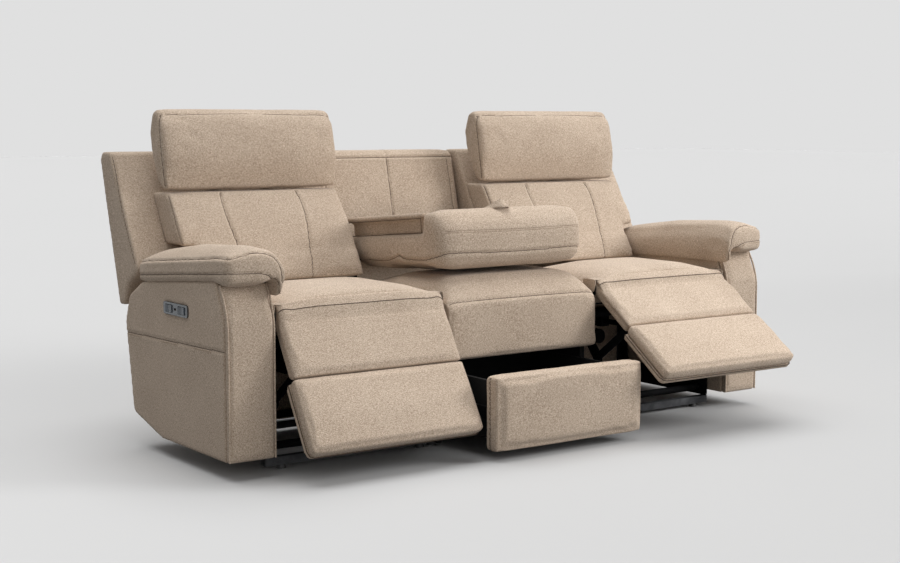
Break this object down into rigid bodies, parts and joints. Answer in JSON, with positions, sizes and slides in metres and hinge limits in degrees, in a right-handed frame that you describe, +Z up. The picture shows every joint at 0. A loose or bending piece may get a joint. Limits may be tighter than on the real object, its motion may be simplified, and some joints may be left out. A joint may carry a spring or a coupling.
{
  "type": "power reclining sofa",
  "caption": "Fabric power reclining sofa with opening footrests, reclining backs, tilting headrests, a fold-down centre table with cup holders and a drawer under the middle seat.",
  "frame": {"origin": "centre of the bounding box on the floor, with the footrests and drawer as pictured", "axes": "+X along the sofa's width to the right seen from the front, +Y to the rear, +Z up"},
  "size_m": [2.115, 1.2217, 1.0492],
  "materials": {
    "upholstery": "matte",
    "black_steel": "satin",
    "frame_wood": "matte",
    "dark_board": "matte",
    "web": "matte",
    "glide": "matte",
    "cup_chrome": "polished",
    "switch_plate": "satin",
    "switch_key": "satin"
  },
  "bodies": {
    "base": {"arm_frames": "frame_wood", "seat_webbing": "web", "base_rails": "black_steel", "feet": "glide", "rear_panels": "upholstery", "middle_seat_cushion": "upholstery", "middle_frame": "dark_board", "middle_back_frame": "frame_wood", "middle_back_pad": "upholstery", "table_hinge_brackets": "black_steel", "drawer_channels": "black_steel", "left_arm_cover": "upholstery", "left_arm_front": "upholstery", "left_arm_pillow": "upholstery", "left_switch_bezel": "switch_plate", "left_seat_cushion": "upholstery", "left_seat_frame": "black_steel", "left_actuator_motor": "black_steel", "right_arm_cover": "upholstery", "right_arm_front": "upholstery", "right_arm_pillow": "upholstery", "right_switch_bezel": "switch_plate", "right_seat_cushion": "upholstery", "right_seat_frame": "black_steel", "right_actuator_motor": "black_steel"},
    "table": {"table_cushion": "upholstery", "table_tray": "upholstery", "cup_holders": "cup_chrome", "pull_strap": "upholstery"},
    "drawer": {"drawer_box": "dark_board", "drawer_front": "upholstery", "drawer_slides": "black_steel"},
    "left_footrest": {"left_leg_pad": "upholstery", "left_foot_pad": "upholstery", "left_foot_board": "upholstery", "left_foot_brackets": "black_steel"},
    "left_drive": {"left_drive_tube": "black_steel"},
    "left_coupler": {"left_coupler_links": "black_steel"},
    "left_rod": {"left_actuator_rod": "black_steel"},
    "left_back": {"left_back_cover": "upholstery", "left_back_frame": "frame_wood", "left_back_hardware": "black_steel", "left_lumbar_cushion": "upholstery"},
    "left_headrest": {"left_headrest_cushion": "upholstery"},
    "left_rocker_front": {"left_rocker_front": "switch_key"},
    "left_rocker_rear": {"left_rocker_rear": "switch_key"},
    "right_footrest": {"right_leg_pad": "upholstery", "right_foot_pad": "upholstery", "right_foot_board": "upholstery", "right_foot_brackets": "black_steel"},
    "right_drive": {"right_drive_tube": "black_steel"},
    "right_coupler": {"right_coupler_links": "black_steel"},
    "right_rod": {"right_actuator_rod": "black_steel"},
    "right_back": {"right_back_cover": "upholstery", "right_back_frame": "frame_wood", "right_back_hardware": "black_steel", "right_lumbar_cushion": "upholstery"},
    "right_headrest": {"right_headrest_cushion": "upholstery"},
    "right_rocker_front": {"right_rocker_front": "switch_key"},
    "right_rocker_rear": {"right_rocker_rear": "switch_key"}
  },
  "joints": [
    {"name": "left_footrest_swing", "type": "hinge", "parent": "base", "child": "left_footrest", "pos_m": [-0.599, -0.2481, 0.466], "axis": [-1, 0, 0], "range_deg": [-30.5, 57.5]},
    {"name": "left_drive_turn", "type": "hinge", "parent": "base", "child": "left_drive", "pos_m": [-0.599, -0.0981, 0.354], "axis": [-1, 0, 0], "range_deg": [-30.51, 57.51]},
    {"name": "left_coupler_turn", "type": "hinge", "parent": "left_footrest", "child": "left_coupler", "pos_m": [-0.599, -0.28927, 0.29759], "axis": [-1, 0, 0], "range_deg": [-57.51, 30.51]},
    {"name": "left_rod_slide", "type": "slide", "parent": "base", "child": "left_rod", "axis": [0, -1, 0], "range_m": [-0.0298, 0.0561]},
    {"name": "left_back_recline", "type": "hinge", "parent": "base", "child": "left_back", "pos_m": [-0.599, 0.3459, 0.42], "axis": [-1, 0, 0], "range_deg": [0, 35]},
    {"name": "left_headrest_tilt", "type": "hinge", "parent": "left_back", "child": "left_headrest", "pos_m": [-0.599, 0.3739, 0.806], "axis": [1, 0, 0], "range_deg": [-15, 30]},
    {"name": "left_rocker_front_rock", "type": "hinge", "parent": "base", "child": "left_rocker_front", "pos_m": [-1.0517, 0.0009, 0.459], "axis": [0, 0, 1], "range_deg": [-6, 6], "stiffness_Nm_per_rad": 0.3},
    {"name": "left_rocker_rear_rock", "type": "hinge", "parent": "base", "child": "left_rocker_rear", "pos_m": [-1.0517, 0.0849, 0.459], "axis": [0, 0, 1], "range_deg": [-6, 6], "stiffness_Nm_per_rad": 0.3},
    {"name": "right_footrest_swing", "type": "hinge", "parent": "base", "child": "right_footrest", "pos_m": [0.599, -0.2481, 0.466], "axis": [-1, 0, 0], "range_deg": [-54.5, 33.5]},
    {"name": "right_drive_turn", "type": "hinge", "parent": "base", "child": "right_drive", "pos_m": [0.599, -0.0981, 0.354], "axis": [-1, 0, 0], "range_deg": [-54.51, 33.51]},
    {"name": "right_coupler_turn", "type": "hinge", "parent": "right_footrest", "child": "right_coupler", "pos_m": [0.599, -0.35421, 0.3289], "axis": [-1, 0, 0], "range_deg": [-33.51, 54.51]},
    {"name": "right_rod_slide", "type": "slide", "parent": "base", "child": "right_rod", "axis": [0, -1, 0], "range_m": [-0.05318, 0.03273]},
    {"name": "right_back_recline", "type": "hinge", "parent": "base", "child": "right_back", "pos_m": [0.599, 0.3459, 0.42], "axis": [-1, 0, 0], "range_deg": [0, 35]},
    {"name": "right_headrest_tilt", "type": "hinge", "parent": "right_back", "child": "right_headrest", "pos_m": [0.599, 0.3739, 0.806], "axis": [1, 0, 0], "range_deg": [-15, 30]},
    {"name": "right_rocker_front_rock", "type": "hinge", "parent": "base", "child": "right_rocker_front", "pos_m": [1.0517, 0.0009, 0.459], "axis": [0, 0, 1], "range_deg": [-6, 6], "stiffness_Nm_per_rad": 0.3},
    {"name": "right_rocker_rear_rock", "type": "hinge", "parent": "base", "child": "right_rocker_rear", "pos_m": [1.0517, 0.0849, 0.459], "axis": [0, 0, 1], "range_deg": [-6, 6], "stiffness_Nm_per_rad": 0.3},
    {"name": "table_fold", "type": "hinge", "parent": "base", "child": "table", "pos_m": [0, 0.2679, 0.555], "axis": [-1, 0, 0], "range_deg": [0, 99]},
    {"name": "drawer_slide", "type": "slide", "parent": "base", "child": "drawer", "axis": [0, -1, 0], "range_m": [-0.233, 0.13]}
  ],
  "couplings": [
    {"joint": "left_drive_turn", "follows": "left_footrest_swing", "ratio": 1},
    {"joint": "left_coupler_turn", "follows": "left_footrest_swing", "ratio": -1},
    {"joint": "left_rod_slide", "follows": "left_footrest_swing", "m_per_rad": 0.0558},
    {"joint": "right_drive_turn", "follows": "right_footrest_swing", "ratio": 1},
    {"joint": "right_coupler_turn", "follows": "right_footrest_swing", "ratio": -1},
    {"joint": "right_rod_slide", "follows": "right_footrest_swing", "m_per_rad": 0.0558}
  ]
}
